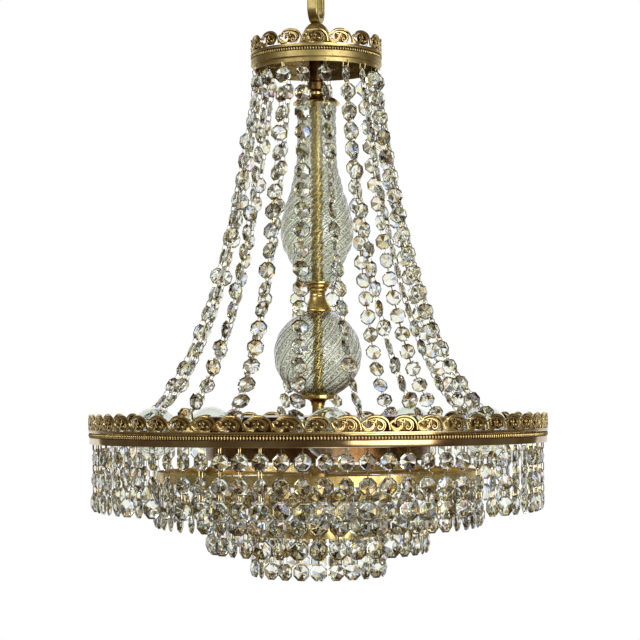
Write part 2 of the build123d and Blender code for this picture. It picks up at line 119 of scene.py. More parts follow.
# %% Soft lamps
def soft_lamp(name, place, size, watts):
    """A square lamp that faces the middle of the chandelier."""
    data = bpy.data.lights.new(name, "AREA")
    data.shape = "SQUARE"
    data.size = size
    data.energy = watts
    lamp = bpy.data.objects.new(name, data)
    lamp.location = place
    towards = Vector((0, 0, -0.33)) - Vector(place)
    lamp.rotation_euler = towards.to_track_quat("-Z", "Y").to_euler()
    bpy.context.collection.objects.link(lamp)


soft_lamp("high_lamp", (-1.7, -1.9, 1.3), 1.8, 32)
soft_lamp("level_lamp", (1.3, -1.85, -0.2), 1.7, 34)
soft_lamp("low_lamp", (0.4, -1.5, -1.9), 1.4, 10)
print("lamps:", [lamp.name for lamp in bpy.data.lights])


# %% Floor
def flat_square(name, size, place, turn=Matrix.Identity(4)):
    """A square sheet made from one grid face."""
    bm = bmesh.new()
    bmesh.ops.create_grid(bm, x_segments=1, y_segments=1, size=size / 2)
    bmesh.ops.transform(bm, matrix=Matrix.Translation(place) @ turn, verts=bm.verts)
    mesh = bpy.data.meshes.new(name)
    bm.to_mesh(mesh)
    bm.free()
    sheet = bpy.data.objects.new(name, mesh)
    bpy.context.collection.objects.link(sheet)
    return sheet


floor_paint = bpy.data.materials.new("pale_floor")
floor_paint.use_nodes = True
nodes = floor_paint.node_tree.nodes
links = floor_paint.node_tree.links
floor_shader = nodes["Principled BSDF"]
floor_shader.inputs["Base Color"].default_value = (0.86, 0.86, 0.85, 1)
floor_shader.inputs["Roughness"].default_value = 0.8
floor_shader.inputs["Emission Color"].default_value = (0.97, 0.98, 1.0, 1)
path = nodes.new("ShaderNodeLightPath")
pale = nodes.new("ShaderNodeMath")
pale.operation = "MULTIPLY"
pale.inputs[1].default_value = 0.66
links.new(path.outputs["Is Camera Ray"], pale.inputs[0])
links.new(pale.outputs[0], floor_shader.inputs["Emission Strength"])
place = nodes.new("ShaderNodeTexCoord")
away = nodes.new("ShaderNodeVectorMath")
away.operation = "LENGTH"
fade = nodes.new("ShaderNodeMapRange")
fade.interpolation_type = "SMOOTHSTEP"
fade.inputs["From Min"].default_value = 6.2
fade.inputs["From Max"].default_value = 3.2
links.new(place.outputs["Object"], away.inputs[0])
links.new(away.outputs["Value"], fade.inputs["Value"])
links.new(fade.outputs["Result"], floor_shader.inputs["Alpha"])
floor = flat_square("floor", 12, (0, 0, -2.4))
floor.data.materials.append(floor_paint)
print("floor:", [round(length, 2) for length in floor.dimensions])

# %% White sheet
sheet_paint = bpy.data.materials.new("white_sheet")
sheet_paint.use_nodes = True
nodes = sheet_paint.node_tree.nodes
links = sheet_paint.node_tree.links
nodes.clear()
clear = nodes.new("ShaderNodeBsdfTransparent")
glow = nodes.new("ShaderNodeEmission")
glow.inputs["Strength"].default_value = 1.0
path = nodes.new("ShaderNodeLightPath")
either = nodes.new("ShaderNodeMath")
either.operation = "MAXIMUM"
choose = nodes.new("ShaderNodeMixShader")
sheet_out = nodes.new("ShaderNodeOutputMaterial")
links.new(path.outputs["Is Transmission Ray"], either.inputs[0])
links.new(path.outputs["Is Glossy Ray"], either.inputs[1])
links.new(either.outputs[0], choose.inputs[0])
links.new(clear.outputs[0], choose.inputs[1])
links.new(glow.outputs[0], choose.inputs[2])
links.new(choose.outputs[0], sheet_out.inputs[0])
sheet = flat_square("white_sheet", 3.0, (0, 1.4, -0.35), Matrix.Rotation(radians(90), 4, "X"))
sheet.data.materials.append(sheet_paint)
print("sheet:", [round(length, 2) for length in sheet.dimensions])

# %% [markdown]
# ## The brass finishes
# All the brass is the same metal in different states: cast scrolls with painted shade in their
# hollows, polished bands, a drum painted dark as a painted reflection of the room, and bright wire.
# One node group makes the tone: slow noise for tarnished patches, fine noise for handling marks, and
# the mesh's pointiness for painted shade in the hollows.
# Each finish places that group with its own colours, and keeps its own shader.

# %% Tarnish and painted hollow shade node group
tarnish_and_hollow_shade = bpy.data.node_groups.new("tarnish_and_hollow_shade", "ShaderNodeTree")
for name, kind, value in (
    ("Bright", "NodeSocketColor", (0.8, 0.6, 0.3, 1)),
    ("Dull", "NodeSocketColor", (0.4, 0.28, 0.1, 1)),
    ("Hollow", "NodeSocketColor", (0.1, 0.06, 0.02, 1)),
    ("Patch Size", "NodeSocketFloat", 60.0),
    ("Hollow Depth", "NodeSocketFloat", 1.0),
    ("Shine", "NodeSocketFloat", 0.2),
):
    socket = tarnish_and_hollow_shade.interface.new_socket(name=name, in_out="INPUT", socket_type=kind)
    socket.default_value = value
for name, kind in (
    ("Color", "NodeSocketColor"),
    ("Roughness", "NodeSocketFloat"),
    ("Height", "NodeSocketFloat"),
):
    tarnish_and_hollow_shade.interface.new_socket(name=name, in_out="OUTPUT", socket_type=kind)
nodes = tarnish_and_hollow_shade.nodes
links = tarnish_and_hollow_shade.links
given = nodes.new("NodeGroupInput")
result = nodes.new("NodeGroupOutput")
place = nodes.new("ShaderNodeTexCoord")
patches = nodes.new("ShaderNodeTexNoise")
patches.inputs["Detail"].default_value = 4
marks = nodes.new("ShaderNodeTexNoise")
marks.inputs["Scale"].default_value = 900
marks.inputs["Detail"].default_value = 3
links.new(place.outputs["Object"], patches.inputs["Vector"])
links.new(place.outputs["Object"], marks.inputs["Vector"])
links.new(given.outputs["Patch Size"], patches.inputs["Scale"])
spread = nodes.new("ShaderNodeMapRange")
spread.inputs["From Min"].default_value = 0.35
spread.inputs["From Max"].default_value = 0.68
links.new(patches.outputs["Fac"], spread.inputs["Value"])
tone = nodes.new("ShaderNodeMix")
tone.data_type = "RGBA"
links.new(spread.outputs["Result"], tone.inputs["Factor"])
links.new(given.outputs["Bright"], tone.inputs["A"])
links.new(given.outputs["Dull"], tone.inputs["B"])
# Painted shade in the hollows: where the mesh's pointiness is low, the colour turns to the Hollow colour.
surface = nodes.new("ShaderNodeNewGeometry")
hollow = nodes.new("ShaderNodeMapRange")
hollow.inputs["From Min"].default_value = 0.5
hollow.inputs["From Max"].default_value = 0.44
links.new(surface.outputs["Pointiness"], hollow.inputs["Value"])
depth = nodes.new("ShaderNodeMath")
depth.operation = "MULTIPLY"
depth.use_clamp = True
links.new(hollow.outputs["Result"], depth.inputs[0])
links.new(given.outputs["Hollow Depth"], depth.inputs[1])
painted_hollow_shade = nodes.new("ShaderNodeMix")
painted_hollow_shade.data_type = "RGBA"
links.new(depth.outputs[0], painted_hollow_shade.inputs["Factor"])
links.new(tone.outputs["Result"], painted_hollow_shade.inputs["A"])
links.new(given.outputs["Hollow"], painted_hollow_shade.inputs["B"])
links.new(painted_hollow_shade.outputs["Result"], result.inputs["Color"])
dullness = nodes.new("ShaderNodeMath")
dullness.operation = "MULTIPLY_ADD"
dullness.inputs[1].default_value = 0.18
links.new(patches.outputs["Fac"], dullness.inputs[0])
links.new(given.outputs["Shine"], dullness.inputs[2])
dusty = nodes.new("ShaderNodeMath")
dusty.operation = "MULTIPLY_ADD"
dusty.use_clamp = True
dusty.inputs[1].default_value = 0.3
links.new(depth.outputs[0], dusty.inputs[0])
links.new(dullness.outputs[0], dusty.inputs[2])
links.new(dusty.outputs[0], result.inputs["Roughness"])
links.new(marks.outputs["Fac"], result.inputs["Height"])
print("tarnish group:", len(nodes), "nodes")


# %% Brass materials
def brass(name, bright, dull, hollow_shade_colour, patch_size=60.0, hollow_shade_depth=1.0, shine=0.2, bump=0.05):
    """A brass or nickel finish around the group of tarnished patches and painted hollow shade."""
    material = bpy.data.materials.new(name)
    material.use_nodes = True
    tree = material.node_tree
    shader = tree.nodes["Principled BSDF"]
    shader.inputs["Metallic"].default_value = 1.0
    group = tree.nodes.new("ShaderNodeGroup")
    group.node_tree = tarnish_and_hollow_shade
    group.inputs["Bright"].default_value = (*bright, 1)
    group.inputs["Dull"].default_value = (*dull, 1)
    group.inputs["Hollow"].default_value = (*hollow_shade_colour, 1)
    group.inputs["Patch Size"].default_value = patch_size
    group.inputs["Hollow Depth"].default_value = hollow_shade_depth
    group.inputs["Shine"].default_value = shine
    relief = tree.nodes.new("ShaderNodeBump")
    relief.inputs["Strength"].default_value = bump
    relief.inputs["Distance"].default_value = 0.2 * MM
    tree.links.new(group.outputs["Color"], shader.inputs["Base Color"])
    tree.links.new(group.outputs["Roughness"], shader.inputs["Roughness"])
    tree.links.new(group.outputs["Height"], relief.inputs["Height"])
    tree.links.new(relief.outputs["Normal"], shader.inputs["Normal"])
    return material


# The third colour of each finish is the painted shade of its hollows.
finishes = {
    "gilt_brass": brass("gilt_brass", (0.88, 0.66, 0.25), (0.74, 0.52, 0.17), (0.14, 0.08, 0.02), shine=0.14),
    "worn_gilt": brass("worn_gilt", (0.60, 0.49, 0.21), (0.44, 0.34, 0.12), (0.08, 0.05, 0.02),
                       patch_size=90, shine=0.3, bump=0.15),
    "gallery_brass": brass("gallery_brass", (0.76, 0.59, 0.27), (0.50, 0.37, 0.14), (0.03, 0.015, 0.006),
                           patch_size=120, hollow_shade_depth=1.6, shine=0.18),
    # Painted shade: the nearly black finish of the sunken ground behind each arch.
    "gallery_painted_shade": brass("gallery_painted_shade", (0.17, 0.10, 0.04), (0.07, 0.04, 0.015), (0.02, 0.01, 0.004),
                            patch_size=150, shine=0.3),
    "band_brass": brass("band_brass", (0.78, 0.60, 0.27), (0.52, 0.37, 0.14), (0.06, 0.03, 0.01), shine=0.12),
    "crown_strip": brass("crown_strip", (0.58, 0.47, 0.20), (0.42, 0.32, 0.12), (0.05, 0.03, 0.01),
                         patch_size=140, shine=0.32, bump=0.5),
    "mirror_strip": brass("mirror_strip", (0.70, 0.56, 0.32), (0.34, 0.21, 0.10), (0.05, 0.025, 0.01),
                          patch_size=28, shine=0.04),
    # Painted reflection: the drum is polished brass, and its near-black brown stands in for the dark room it
    # mirrors.
    "drum_brass": brass("drum_brass", (0.25, 0.13, 0.05), (0.10, 0.05, 0.02), (0.03, 0.015, 0.008),
                        patch_size=30, shine=0.1),
    "dark_brass": brass("dark_brass", (0.24, 0.13, 0.05), (0.13, 0.07, 0.025), (0.04, 0.02, 0.01),
                        shine=0.2),
    "sleeve_brass": brass("sleeve_brass", (0.66, 0.50, 0.20), (0.44, 0.32, 0.11), (0.10, 0.07, 0.02),
                          shine=0.25),
    "plain_brass": brass("plain_brass", (0.66, 0.48, 0.20), (0.50, 0.34, 0.12), (0.08, 0.04, 0.01),
                         shine=0.22),
    "brass_wire": brass("brass_wire", (0.74, 0.60, 0.32), (0.56, 0.44, 0.20), (0.12, 0.08, 0.03),
                        shine=0.16),
    "holder_brass": brass("holder_brass", (0.62, 0.46, 0.20), (0.48, 0.33, 0.12), (0.08, 0.04, 0.01),
                          shine=0.25),
    "nickel": brass("nickel", (0.72, 0.70, 0.66), (0.58, 0.55, 0.50), (0.12, 0.11, 0.10), shine=0.18),
}
print("brass finishes:", len(finishes))

# %% [markdown]
# ## Glass
# The column is moulded glass with a faint green-grey tint, the crystals are cut lead glass with a
# higher index, which bends light more and flashes brighter, and the lamps are thin blown glass. All
# three are the plain glass of the Principled shader: full transmission and no roughness.


# %% Glass materials
def glass(name, tint, index):
    """Clear glass with its own tint and index."""
    material = bpy.data.materials.new(name)
    material.use_nodes = True
    shader = material.node_tree.nodes["Principled BSDF"]
    shader.inputs["Base Color"].default_value = (*tint, 1)
    shader.inputs["Roughness"].default_value = 0.0
    shader.inputs["IOR"].default_value = index
    shader.inputs["Transmission Weight"].default_value = 1.0
    return material


finishes["crystal"] = glass("crystal", (0.965, 0.98, 0.965), 1.56)
crystal_nodes = finishes["crystal"].node_tree
# The crystal's base colour is the painted light of its facets.
facet = crystal_nodes.nodes.new("ShaderNodeAttribute")
facet.attribute_name = "facet"
crystal_nodes.links.new(facet.outputs["Color"], crystal_nodes.nodes["Principled BSDF"].inputs["Base Color"])
finishes["bulb_glass"] = glass("bulb_glass", (0.90, 0.93, 0.89), 1.46)
print("the crystal reads the attribute:", facet.attribute_name)

# %% [markdown]
# ## The terminal block's plastic
# The block inside the drum is ivory plastic, yellowed unevenly with age. Fine noise mixes the fresh
# and the yellowed tone, and the same noise roughens the surface a little.

# %% Ivory plastic
plastic = bpy.data.materials.new("ivory_plastic")
plastic.use_nodes = True
nodes = plastic.node_tree.nodes
links = plastic.node_tree.links
spot = nodes.new("ShaderNodeTexCoord")
grain = nodes.new("ShaderNodeTexNoise")
grain.inputs["Scale"].default_value = 700
links.new(spot.outputs["Object"], grain.inputs["Vector"])
yellowing = nodes.new("ShaderNodeMix")
yellowing.data_type = "RGBA"
yellowing.inputs["A"].default_value = (0.80, 0.76, 0.64, 1)
yellowing.inputs["B"].default_value = (0.70, 0.64, 0.48, 1)
links.new(grain.outputs["Fac"], yellowing.inputs["Factor"])
links.new(yellowing.outputs["Result"], nodes["Principled BSDF"].inputs["Base Color"])
fine = nodes.new("ShaderNodeBump")
fine.inputs["Strength"].default_value = 0.15
fine.inputs["Distance"].default_value = 0.1 * MM
links.new(grain.outputs["Fac"], fine.inputs["Height"])
links.new(fine.outputs["Normal"], nodes["Principled BSDF"].inputs["Normal"])
finishes["ivory_plastic"] = plastic
print("finishes:", sorted(finishes))

# %% [markdown]
# ## Moulded glass
# Slanting ribs climb to the right round the vase and the ball, with a row of small round bosses
# between each two ribs. The sharp lines beside each rib and the rims of the bosses are finer than a
# mesh can hold. A UV map counts the ribs round the glass (U) and the bosses along them (V), and this
# mask draws both from that map as bent lines of painted shade, where the sharp glass edges show dark.

# %% Ribs and bosses as a mask
swirl = bpy.data.node_groups.new("ribs_and_bosses", "ShaderNodeTree")
swirl.interface.new_socket(name="Mask", in_out="OUTPUT", socket_type="NodeSocketFloat")
nodes = swirl.nodes
links = swirl.links
result = nodes.new("NodeGroupOutput")
lanes = nodes.new("ShaderNodeUVMap")
lanes.uv_map = "lanes"
split = nodes.new("ShaderNodeSeparateXYZ")
links.new(lanes.outputs["UV"], split.inputs[0])


def maths(operation, first, second=None, third=None):
    """One maths node; numbers stay on its own sockets."""
    node = nodes.new("ShaderNodeMath")
    node.operation = operation
    for index, value in enumerate((first, second, third)):
        if isinstance(value, (int, float)):
            node.inputs[index].default_value = value
        elif value is not None:
            links.new(value, node.inputs[index])
    return node.outputs[0]


def band(value, low, high, soft):
    """1 between two values, with a soft edge on both sides."""
    middle = (low + high) / 2
    off = maths("ABSOLUTE", maths("SUBTRACT", value, middle))
    edge = nodes.new("ShaderNodeMapRange")
    edge.interpolation_type = "SMOOTHSTEP"
    edge.inputs["From Min"].default_value = (high - low) / 2 + soft
    edge.inputs["From Max"].default_value = (high - low) / 2 - soft
    links.new(off, edge.inputs["Value"])
    return edge.outputs["Result"]


LANE = 17.0  # mm, about the distance from rib to rib where the ball is widest
BOSS = 7.5  # mm from boss to boss along a lane
line_start, line_end = 1.2, 2.4  # mm from the rib's middle
rim_start, rim_end = 1.6, 2.8  # mm from the boss's middle
softness = 0.4
across = maths("SUBTRACT", maths("FRACT", split.outputs["X"]), 0.5)
from_rib = maths("MULTIPLY", maths("SUBTRACT", 0.5, maths("ABSOLUTE", across)), LANE)
lines = band(from_rib, line_start, line_end, softness)
step = maths("SUBTRACT", maths("FRACT", split.outputs["Y"]), 0.5)
reach = maths("SQRT", maths("ADD", maths("POWER", maths("MULTIPLY", across, LANE), 2.0),
                            maths("POWER", maths("MULTIPLY", step, BOSS), 2.0)))
rims = band(reach, rim_start, rim_end, softness)
both = maths("MAXIMUM", lines, rims)
links.new(both, result.inputs["Mask"])
print("mask nodes:", len(nodes))


# %% Moulded glass material
def moulded_glass(name, tint, line_shade):
    """Clear glass with the ribs and bosses drawn by the mask, in the painted shade of the line colour."""
    material = glass(name, tint, 1.5)
    tree = material.node_tree
    shader = tree.nodes["Principled BSDF"]
    group = tree.nodes.new("ShaderNodeGroup")
    group.node_tree = swirl
    colour = tree.nodes.new("ShaderNodeMix")
    colour.data_type = "RGBA"
    colour.inputs["A"].default_value = (*tint, 1)
    colour.inputs["B"].default_value = (*line_shade, 1)
    relief = tree.nodes.new("ShaderNodeBump")
    relief.inputs["Strength"].default_value = 0.5
    relief.inputs["Distance"].default_value = 0.15 * MM
    tree.links.new(group.outputs["Mask"], colour.inputs["Factor"])
    tree.links.new(colour.outputs["Result"], shader.inputs["Base Color"])
    tree.links.new(group.outputs["Mask"], relief.inputs["Height"])
    tree.links.new(relief.outputs["Normal"], shader.inputs["Normal"])
    return material


# The second colour is the painted shade of the lines at the ribs and bosses.
finishes["vase_glass"] = moulded_glass("vase_glass", (0.92, 0.945, 0.86), (0.10, 0.09, 0.05))
finishes["ball_glass"] = moulded_glass("ball_glass", (0.88, 0.90, 0.82), (0.10, 0.09, 0.05))
print("all finishes:", len(finishes))

# %% [markdown]
# ## Pieces whose solids are right
# The loop, the hub, the turned brass of the column, the drum, the spokes and the nuts are plain
# turned or bent metal. Their solids already have the real shape, so they stay and only get their
# finish, by the slot that the record gives them. Four nodes have a finish of their own instead: the
# worn loop and hub, and the polished strips of the two bands.

# %% Dress the solids
slot_of = {part["node"]: part["material_slot"] for part in frame["record"]["subparts"]}
finish_of = {
    **slot_of,
    "suspension_loop": "worn_gilt",
    "top_hub": "worn_gilt",
    "crown_band": "crown_strip",
    "ring_band": "mirror_strip",
}
for node, thing in frame["nodes"].items():
    thing.data.materials.clear()
    thing.data.materials.append(finishes[finish_of[node]])
print("dressed:", len(slot_of), "solids")


# %% A helper for new pieces
def new_piece(name, bm, node, body="fixture", sharp=40.0, second=None):
    """Turns a bmesh into a piece that stands for a node, with its finishes and its body."""
    for face in bm.faces:
        face.smooth = sharp > 0
    mesh = bpy.data.meshes.new(name)
    bm.to_mesh(mesh)
    bm.free()
    if sharp > 0:
        mesh.set_sharp_from_angle(angle=radians(sharp))
    piece = bpy.data.objects.new(name, mesh)
    bpy.context.collection.objects.link(piece)
    mesh.materials.append(finishes[finish_of[node]])
    if second:
        mesh.materials.append(finishes[second])
    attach(piece, body)
    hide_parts(node)
    print(name, len(mesh.polygons), "faces")


def add_copies(bm, mesh, places):
    """Adds a copy of a small mesh to a bmesh at each place."""
    for place in places:
        first = len(bm.verts)
        bm.from_mesh(mesh)
        bm.verts.ensure_lookup_table()
        bmesh.ops.transform(bm, matrix=place, verts=bm.verts[first:])


def around(azimuth, radius, depth):
    """A place at an azimuth from the front, a radius and a depth, in mm: X goes round, Y up, Z out."""
    turn = radians(azimuth)
    side = Vector((cos(turn), sin(turn), 0))
    out = Vector((sin(turn), -cos(turn), 0))
    frame_matrix = Matrix((side, Vector((0, 0, 1)), out)).transposed().to_4x4()
    frame_matrix.translation = out * radius * MM - Vector((0, 0, depth * MM))
    return frame_matrix


def mesh_of(bm, name):
    """Keeps a bmesh as a mesh to be copied."""
    mesh = bpy.data.meshes.new(name)
    bm.to_mesh(mesh)
    bm.free()
    return mesh


def mesh_of_curve(curve):
    """The mesh of a curve with its bevel."""
    thing = bpy.data.objects.new(curve.name, curve)
    bpy.context.collection.objects.link(thing)
    bpy.context.view_layer.update()
    mesh = bpy.data.meshes.new_from_object(thing.evaluated_get(bpy.context.evaluated_depsgraph_get()))
    bpy.data.objects.remove(thing)
    return mesh


# %% [markdown]
# ## The scroll galleries
# Both galleries are one cast motif repeated edge to edge: a tall arch that curls inward to a pearl
# over a sunken ground painted near black as painted shade, and a small scroll that opens upward
# between two arches, over a plain strip. Each stroke of a scroll is drawn as a curve with a round
# bevel, thick in the middle and thin at its ends, and turned into a mesh. The flat motif is then bent
# onto the ring's circle.


# %% Strokes of a scroll
def taper(along):
    """The share of a stroke's thickness at a place along it, from 0 to 1."""
    if along >= 0.9:
        return 0.5
    return 0.45 + 0.55 * sin(pi * min(1, along * 1.15 + 0.12)) ** 0.6


def stroke(points, thickness):
    """A tapered round stroke through (across, up) points, in mm."""
    curve = bpy.data.curves.new("stroke", "CURVE")
    curve.dimensions = "3D"
    curve.bevel_depth = thickness / 2
    curve.bevel_resolution = 1
    curve.resolution_u = 3
    curve.use_fill_caps = True
    spline = curve.splines.new("NURBS")
    spline.points.add(len(points) - 1)
    for index, (point, place) in enumerate(zip(spline.points, points)):
        point.co = (*place, 0, 1)
        point.radius = taper(index / (len(points) - 1))
    spline.order_u = 4
    spline.use_endpoint_u = True
    return mesh_of_curve(curve)


def pearl(radius, rings=5):
    """A small ball."""
    bm = bmesh.new()
    bmesh.ops.create_uvsphere(bm, u_segments=8, v_segments=rings, radius=radius)
    return mesh_of(bm, "pearl")


print("a stroke's thickness along it:", [round(taper(along / 4), 2) for along in range(5)])

# %% The motif
arch = [(-10.2, 10.6), (-9.8, 13.4), (-5.6, 15.7), (0.6, 16.2), (6.6, 14.8), (10.6, 10.8), (11.8, 7.0),
        (12.0, 3.0)]
arch_lining = [(-7.4, 11.8), (-4.0, 13.4), (1.0, 13.7), (5.6, 12.2), (8.0, 9.0), (8.2, 5.4), (6.4, 2.6),
               (4.4, 1.4)]
inner_curl = [(0.6, 12.4), (3.6, 12.0), (6.2, 9.4), (6.2, 5.8), (3.8, 3.2), (0.8, 3.8), (0.2, 6.4),
              (2.2, 7.4)]
leaf = [(-0.4, 12.8), (-1.6, 11.0), (-1.2, 8.6), (-0.2, 7.6)]
shell = [(-5.6, 11.2), (-3.2, 11.8), (-1.6, 9.6)]
low_scroll = [(-14.4, 9.6), (-13.6, 6.4), (-11.4, 3.4), (-7.8, 2.2), (-4.2, 3.4), (-2.4, 6.8), (-3.0, 9.6)]
crescent = [(-12.4, 6.8), (-10.8, 4.6), (-7.8, 3.6), (-5.0, 4.8), (-4.0, 7.2)]
top_curl = [(-14.0, 9.2), (-12.4, 11.2), (-9.8, 11.8), (-8.6, 10.2), (-9.8, 9.0)]
motif = bmesh.new()
for points, thickness in ((arch, 3.0), (arch_lining, 1.4), (inner_curl, 2.0), (leaf, 2.0), (shell, 1.8),
                          (low_scroll, 3.6), (crescent, 3.2), (top_curl, 2.6)):
    motif.from_mesh(stroke(points, thickness))
# The sunken ground behind the arch takes the second finish, which is painted shade.
plate = bmesh.new()
bmesh.ops.create_circle(plate, cap_ends=True, segments=20, radius=1,
                        matrix=Matrix.Translation((0.9, 8.8, -1.1)) @ Matrix.Diagonal((8.4, 6.4, 1, 1)))
bmesh.ops.solidify(plate, geom=plate.faces[:], thickness=0.5)
bmesh.ops.recalc_face_normals(plate, faces=plate.faces)
for face in plate.faces:
    face.material_index = 1
motif.from_mesh(mesh_of(plate, "plate"))
large_pearls = [(3.2, 6.2), (-10.2, 10.6)]
small_pearls = [(-0.4, 9.4), (-1.4, 6.2), (-4.6, 9.4)]
for radius, spots in ((1.5, large_pearls), (1.1, small_pearls)):
    add_copies(motif, pearl(radius), [Matrix.Translation((x, y, 0.1)) for x, y in spots])
motif_mesh = mesh_of(motif, "motif")
print("motif faces:", len(motif_mesh.polygons))


# %% Bend the motifs into the galleries
MOTIF_WIDTH = 26.5
MOTIF_HEIGHT = 17.45
RELIEF = 1.15  # mm from the motif's middle to the gallery's outside
BACK = 1.0  # mm from the motif's middle to its flat back
STRIP_INSET = 1.6
STRIP_HEIGHT = 1.3
STRIP_THICKNESS = 1.5


def gallery(name, node, radius, count, top, bottom):
    """Repeats the motif round a circle, over a plain strip."""
    pitch = tau * radius / count
    squeeze = (bottom - top) / MOTIF_HEIGHT
    bm = bmesh.new()
    for index in range(count):
        first = len(bm.verts)
        bm.from_mesh(motif_mesh)
        bm.verts.ensure_lookup_table()
        for vert in bm.verts[first:]:
            across = vert.co.x * pitch / MOTIF_WIDTH + pitch * index
            out = radius - RELIEF + max(-BACK, min(RELIEF, vert.co.z))
            turn = across / radius
            up = max(0.0, vert.co.y) * squeeze
            vert.co = (out * sin(turn) * MM, -out * cos(turn) * MM, (up - bottom) * MM)
    strip = bmesh.new()
    rim = bmesh.ops.create_circle(strip, segments=count * 4, radius=(radius - STRIP_INSET) * MM)["verts"]
    bmesh.ops.translate(strip, verts=rim, vec=(0, 0, -bottom * MM))
    grown = bmesh.ops.extrude_edge_only(strip, edges=strip.edges[:])["geom"]
    raised = [part for part in grown if isinstance(part, bmesh.types.BMVert)]
    bmesh.ops.translate(strip, verts=raised, vec=(0, 0, STRIP_HEIGHT * MM))
    bmesh.ops.solidify(strip, geom=strip.faces[:], thickness=-STRIP_THICKNESS * MM)
    bmesh.ops.recalc_face_normals(strip, faces=strip.faces)
    bm.from_mesh(mesh_of(strip, "strip"))
    new_piece(name, bm, node, sharp=60, second="gallery_painted_shade")


gallery("scrolls_of_the_ring", "ring_gallery", radius=228, count=54, top=426.9, bottom=443.5)
gallery("scrolls_of_the_crown", "crown_gallery", radius=66, count=16, top=51.1, bottom=67.6)

# %% [markdown]
# ## The beaded bands
# Under each gallery runs a band with a fillet line, a row of pressed pearls and a polished strip.
# The band is a spun profile. The pearls are small low balls stretched upright, one beside the other.


# %% Spun profiles
def spun(points, steps=160):
    """A ring or turned piece from (radius, depth) corners in mm, spun once round the stem."""
    bm = bmesh.new()
    corners = [bm.verts.new((radius * MM, 0, -depth * MM)) for radius, depth in points]
    edges = [bm.edges.new(pair) for pair in zip(corners, corners[1:])]
    bmesh.ops.spin(bm, geom=corners + edges, axis=(0, 0, 1), cent=(0, 0, 0), steps=steps, angle=tau,
                   use_merge=True)
    bmesh.ops.remove_doubles(bm, verts=bm.verts, dist=1e-6)
    bmesh.ops.recalc_face_normals(bm, faces=bm.faces)
    closed = bmesh.new()
    closed.from_mesh(mesh_of(bm, "spun"))
    return closed


def pearl_row(bm, radius, depth, count, size):
    """Upright pearls round a band, in its second finish."""
    shape = Matrix.Diagonal((0.85, 1.45, 0.8, 1))
    places = [around(360 / count * index, radius, depth) @ shape for index in range(count)]
    bead = pearl(size * MM, rings=6)
    for face in bead.polygons:
        face.material_index = 1
    add_copies(bm, bead, places)


# %% The two bands
band_line = [
    (220.5, 455.7), (220.5, 443.5), (227.6, 443.5), (228.0, 444.0), (228.0, 444.9), (227.5, 445.3),
    (226.7, 445.5), (226.7, 449.7), (227.3, 449.9), (227.3, 455.5), (227.1, 456.0), (226.0, 456.0),
    (226.0, 444.9), (221.5, 444.9), (221.5, 455.7), (220.5, 455.7),
]
ring_band = spun(band_line, 216)
pearl_row(ring_band, radius=226.8, depth=447.5, count=468, size=1.35)
new_piece("beaded_band_of_the_ring", ring_band, "ring_band", sharp=35, second="gallery_brass")

crown_line = [
    (64.4, 67.6), (66.0, 67.6), (66.0, 69.0), (65.3, 69.2), (65.0, 69.4), (65.0, 73.2), (65.6, 73.3),
    (65.7, 78.8), (62.5, 79.6), (62.5, 83.5), (61.5, 83.5), (61.5, 78.4), (64.4, 77.4), (64.4, 67.6),
]
crown_band = spun(crown_line, 144)
pearl_row(crown_band, radius=65.0, depth=71.3, count=150, size=1.15)
new_piece("beaded_band_of_the_crown", crown_band, "crown_band", sharp=35, second="gallery_brass")

# %% [markdown]
# ## The spool between the glass pieces and the cup under the ball
# The spool is turned from solid brass: a rim under the vase, three narrowing rings, a waist with one
# bead, and a bell that opens over the ball. A turner's profile like this is a line of close points,
# spun once round the stem. Sharp rings catch thin lines of light, so the points stay close there.
# The cup is turned in the same way: a lip that the ball sits on, and a foot round the lower sleeve.

# %% Spool
spool_line = [
    (5.1, 296.0), (13.7, 296.0), (14.4, 296.4), (14.4, 297.6), (13.4, 298.2), (12.6, 298.6), (12.2, 299.5),
    (12.5, 300.5), (11.9, 301.5), (10.4, 302.5), (9.6, 303.3), (9.9, 304.3), (9.3, 305.3), (8.2, 306.3),
    (7.7, 307.5), (7.8, 308.5), (8.3, 309.2), (8.4, 310.3), (7.9, 311.1), (8.6, 313.2), (9.8, 315.6),
    (11.4, 318.2), (13.0, 320.6), (13.9, 322.3), (13.6, 323.0), (14.3, 323.5), (14.9, 324.1), (14.9, 325.4),
    (14.3, 326.0), (5.1, 326.0), (5.1, 296.0),
]
new_piece("turned_spool", spun(spool_line, 96), "brass_spool", sharp=50)

# %% Cup under the ball
cup_line = [
    (5.1, 410.2), (16.6, 408.9), (17.4, 409.2), (17.5, 410.0), (17.4, 412.2), (16.6, 412.8), (14.6, 412.9),
    (13.2, 413.2), (10.4, 413.6), (8.4, 414.5), (7.4, 415.8), (7.0, 417.6), (7.0, 419.6), (5.1, 419.6),
    (5.1, 410.2),
]
new_piece("turned_cup", spun(cup_line, 96), "ball_cup", sharp=50)

# %% [markdown]
# ## The moulded shells
# The vase and the ball are blown into a ribbed mould, so their outside is ribbed and their inside
# smooth. A spun shell gives the wall, and its outer skin sinks a little between each two ribs. The UV
# map made here counts the ribs round the glass and the bosses along them, for the mask to read.

# %% A moulded shell
RIB_HEIGHT = 0.6
RIB_SPREAD = 0.13  # the share of a lane over which a rib rises
PLAIN_SPOT = (0.28, 0.0)  # a place on the map where the mask has no line


